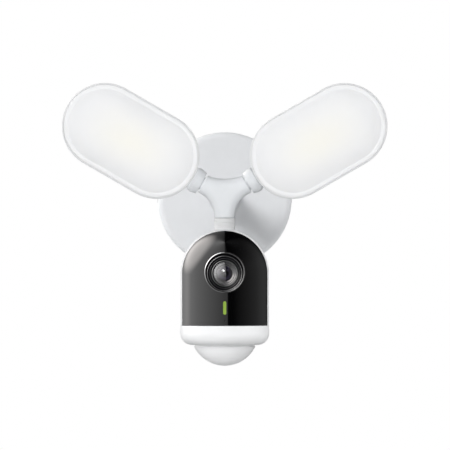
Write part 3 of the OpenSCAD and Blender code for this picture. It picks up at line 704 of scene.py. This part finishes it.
def paint_frame():
    """Gives every CAD node its finish, and makes the pieces that stand for the most visible ones."""
    shell = moulded("white_shell", (0.83, 0.835, 0.84), 0.34)
    canopy = moulded("canopy_white", (0.785, 0.795, 0.81), 0.45)
    cast = moulded("powder_coat", (0.755, 0.775, 0.795), 0.36, 0.6, 0.03)
    rim = moulded("lamp_coat", (0.74, 0.745, 0.75), 0.36, 0.6, 0.03)
    black = polished("black_gloss", (0.0008, 0.0008, 0.001))
    matte = moulded("black_matte", (0.012, 0.012, 0.013), 0.42, edge=0.2)
    dark_rubber = rubber("black_rubber", (0.045, 0.045, 0.05))
    steel = metal("zinc_steel", (0.62, 0.62, 0.63))
    board = circuit("solder_mask", (0.02, 0.13, 0.07))
    assign(canopy, "canopy_cover")
    assign(shell, "rear_shell", "service_bay", "tilt_cradle", "terminal_block", "driver_case")
    assign(cast, *both("knuckle"))
    assign(rim, *both("head_housing"))
    assign(black, "front_panel")
    assign(matte, "speaker", "reset_button", "microphone")
    assign(dark_rubber, "canopy_gasket", "arm_gasket", *both("swivel_oring", "tilt_washers", "gasket"))
    assign(rubber("white_rubber", (0.78, 0.785, 0.79)), "service_flap")
    assign(steel, "mounting_bracket", "canopy_screws", "arm_nut", "arm_lock_screws", "tilt_pin",
           "shell_screws", "card_socket", *both("tilt_bolt", "tilt_nut", "head_screws"))
    assign(metal("green_screw", (0.1, 0.42, 0.2), 0.4), "ground_screw")
    assign(board, "pir_sensor", "sensor_board", "main_board")
    assign(circuit("white_mask", (0.75, 0.75, 0.74)), *both("led_board"))
    assign(moulded("reflector_white", (0.88, 0.88, 0.88), 0.3), *both("reflector"))
    assign(lit("phosphor", (0.9, 0.7, 0.25), (1, 0.8, 0.4), 0.1), *both("leds"))
    assign(polished("infrared_epoxy", (0.02, 0.006, 0.012)), "infrared_leds")
    assign(lit("status_green", (0.13, 0.21, 0.02), (0.24, 0.38, 0.03), 0.45), "status_light")
    for side in SIDES:
        make_diffuser(side, frosted(side + "_frost", side))
    make_arm(cast)
    make_band(shell)
    make_dome(milky("sensor_milk", dome_centre()))
    # Darker copy of the white plastic for the neck, pan ring and sleeve: painted shade for the occlusion
    # between the arm and the camera's dome
    neck = moulded("neck_painted_shade", (0.73, 0.735, 0.74), 0.36)
    assign(neck, "neck_stem")
    make_pan_ring(neck)
    make_neck_sleeve(neck)
    make_lens()


# ---- studio ----

# Width of the picture at the object, and the camera's distance, in metres
PICTURE_WIDTH = 0.4667
VIEW_DISTANCE = 10.0
SENSOR = 36.0
AIM = Vector((0.0003, -0.118, -0.027))
# What gloss mirrors, as degrees round from the front and brightness: a bright screen on the left,
# which ends just right of the front, and a dim one on the right
BRIGHT_SCREEN = ((-180, 0.2), (-155, 0.6), (-110, 2.2), (-90, 2.5), (-65, 2.2), (0, 0.9), (7.5, 0.85))
DIM_SCREEN = ((8.5, 0.02), (22, 0.02), (75, 0.3), (105, 0.4), (125, 0.3), (150, 0.02), (180, 0.01))
BRIGHTEST = 2.5
LAMP_WAY = Vector((-0.74, 0.35, 0.57)).normalized()
LAMP_BRIGHTNESS = 4.3
LAMP_COLOUR = (1.0, 0.94, 0.91, 1)
FLOOR_HEIGHT = -0.62
FLOOR_RADIUS = 3.0


def make_camera():
    data = bpy.data.cameras.new("camera")
    data.sensor_width = SENSOR
    data.lens = SENSOR * VIEW_DISTANCE / PICTURE_WIDTH
    data.clip_end = 100
    camera = bpy.data.objects.new("camera", data)
    camera.location = AIM + VIEW_DISTANCE * FRONT
    camera.rotation_euler = (math.radians(90), 0, 0)
    bpy.context.scene.collection.objects.link(camera)
    bpy.context.scene.camera = camera


def area_light(name, place, size, power):
    data = bpy.data.lights.new(name, "AREA")
    data.shape = "DISK"
    data.size = size
    data.energy = power
    light = bpy.data.objects.new(name, data)
    light.location = place
    light.rotation_euler = (AIM - Vector(place)).to_track_quat("-Z", "Y").to_euler()
    light.visible_camera = False
    light.visible_glossy = False
    bpy.context.scene.collection.objects.link(light)
    return light


def group(name, pieces):
    collection = bpy.data.collections.new(name)
    for piece in pieces:
        collection.objects.link(piece)
    return collection


def make_world():
    """Soft surroundings; gloss mirrors two screens and a lamp, and the camera sees plain white."""
    world = bpy.data.worlds.new("studio")
    bpy.context.scene.world = world
    world.use_nodes = True
    tree = world.node_tree
    tree.nodes.clear()

    def add(kind, *sources, output=0, **settings):
        node = tree.nodes.new(kind)
        for key, value in settings.items():
            setattr(node, key, value)
        for index, source in enumerate(sources):
            if hasattr(source, "is_output"):
                tree.links.new(source, node.inputs[index])
            else:
                node.inputs[index].default_value = source
        return node.outputs[output]

    def product(first, second):
        return add("ShaderNodeMath", first, second, operation="MULTIPLY")

    place = add("ShaderNodeTexCoord", output="Generated")
    x, y, z = (add("ShaderNodeSeparateXYZ", place, output=axis) for axis in "XYZ")
    ahead = product(y, -1.0)

    turn = add("ShaderNodeMath", x, ahead, operation="ARCTAN2")
    share = add("ShaderNodeMapRange", turn, -math.pi, math.pi, 0.0, 1.0)
    ramp = add("ShaderNodeValToRGB", share)
    stops = ramp.node.color_ramp.elements
    while len(stops) > 1:
        stops.remove(stops[-1])
    for index, (degrees, level) in enumerate(BRIGHT_SCREEN + DIM_SCREEN):
        stop = stops.new(degrees / 360 + 0.5) if index else stops[0]
        stop.position = degrees / 360 + 0.5
        stop.color = (*[level / BRIGHTEST] * 3, 1)
    on_right = add("ShaderNodeMath", x, 0.0, operation="GREATER_THAN")
    fade_above = add("ShaderNodeMapRange", product(z, on_right), 0.3, 0.85, BRIGHTEST, BRIGHTEST / 4)
    fade_below = add("ShaderNodeMapRange", z, -0.6, 0.0, 0.3, 1.0)
    screens = add("ShaderNodeBackground", ramp, product(fade_above, fade_below))

    nearness = add("ShaderNodeVectorMath", place, LAMP_WAY, output="Value", operation="DOT_PRODUCT")
    glow = add("ShaderNodeMapRange", nearness, 0.77, 0.96, 0.0, LAMP_BRIGHTNESS,
               interpolation_type="SMOOTHSTEP")
    lamp = add("ShaderNodeBackground", LAMP_COLOUR, glow)
    mirrored = add("ShaderNodeAddShader", screens, lamp)

    from_above = add("ShaderNodeMapRange", z, -1.0, 1.0, 0.72, 1.2)
    from_front = add("ShaderNodeMapRange", ahead, -1.0, 1.0, 0.09, 0.34)
    soft = add("ShaderNodeBackground", (0.98, 0.99, 1.0, 1), product(from_above, from_front))

    plain = add("ShaderNodeBackground", (1, 1, 1, 1), 1.0)
    gloss = add("ShaderNodeLightPath", output="Is Glossy Ray")
    direct = add("ShaderNodeLightPath", output="Is Camera Ray")
    lighting = add("ShaderNodeMixShader", gloss, soft, mirrored)
    seen = add("ShaderNodeMixShader", direct, lighting, plain)
    tree.links.new(seen, tree.nodes.new("ShaderNodeOutputWorld").inputs["Surface"])


def make_floor():
    g = Graph("floor_white")
    g.set(
        Base_Color=g.mix(g.span(g.noise(300, 2), 0.3, 0.7), (0.88, 0.88, 0.88), (0.92, 0.92, 0.92)),
        Roughness=0.7,
        Emission_Color=(1, 1, 1, 1),
        Emission_Strength=g.math("MULTIPLY", g.add("ShaderNodeLightPath").outputs["Is Camera Ray"], 0.5),
    )
    mesh = bpy.data.meshes.new("floor")
    bm = bmesh.new()
    bmesh.ops.create_circle(bm, cap_ends=True, segments=96, radius=FLOOR_RADIUS)
    bmesh.ops.translate(bm, verts=bm.verts, vec=FLOOR_HEIGHT * UP)
    bm.to_mesh(mesh)
    bm.free()
    mesh.materials.append(g.material)
    floor = bpy.data.objects.new("floor", mesh)
    bpy.context.scene.collection.objects.link(floor)


def light_studio():
    """Soft lights, each kept to the pieces it is for, so that every depth of the object has its own key."""
    meshes = [piece for piece in bpy.context.scene.objects if piece.type == "MESH"]
    in_front = [piece for piece in meshes if piece.name != "canopy_cover"]

    def named(title, *names):
        return group(title, [piece for piece in meshes if piece.name in names])

    front = group("in_front", in_front)
    hanging = group("hanging", [piece for piece in meshes if piece.get("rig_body") == "camera"])
    upper = group("upper", [piece for piece in in_front if piece.get("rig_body") != "camera"])
    edges = named("edges", "rear_shell", "lower_band", "canopy_cover")
    at_wall = named("at_wall", "canopy_cover")
    not_black = group(
        "not_black", [piece for piece in meshes if piece.name not in ("front_panel", "lens_ring")],
    )
    shading = named("shading", "cast_arm", "rear_shell", "front_panel", "lower_band", "neck_stem", "floor")
    for name, receivers, blockers, place, size, power in (
        ("camera_key", hanging, None, (-1.45, -2.95, 1.5), 1.0, 60),
        ("arm_key", upper, shading, (-0.8, -3.1, 1.4), 1.0, 40),
        ("front_soft", front, None, (0, -3.4, 0.5), 2.4, 28),
        ("side_soft", front, None, (2.6, -1.4, 1.2), 1.6, 15),
        ("right_edge", edges, None, (2.4, 0.2, 0.6), 1.2, 26),
        ("left_edge", edges, None, (-2.4, 0.2, 0.9), 1.2, 16),
        ("wall_key", at_wall, shading, (-0.63, -1.02, 0.6), 0.455, 10.2),
        ("back_right", not_black, None, (1.2, 3.0, 1.2), 2.4, 60),
        ("back_left", not_black, None, (-2.2, 2.2, -0.2), 2.4, 24),
    ):
        light = area_light(name, place, size, power)
        light.light_linking.receiver_collection = receivers
        if blockers:
            light.light_linking.blocker_collection = blockers
    for name, pieces, place, size, power in (
        ("glint", ("lens_glass",), (-0.4, -2.95, 0.85), 0.6, 9),
        ("lip_light", ("bezel_lip", "throat_edge"), (-2.1, -0.2, 2.1), 4, 110),
    ):
        light = area_light(name, place, size, power)
        light.light_linking.receiver_collection = named(name, *pieces)
        light.visible_glossy = True
        light.visible_diffuse = False


def keep_out_of_gloss():
    """Leaves the object and the floor out of reflections, so that gloss mirrors the studio alone."""
    for piece in bpy.context.scene.objects:
        if piece.type == "MESH":
            piece.visible_glossy = False


paint_frame()
make_camera()
make_world()
make_floor()
light_studio()
keep_out_of_gloss()
bpy.context.scene.view_settings.view_transform = "Standard"
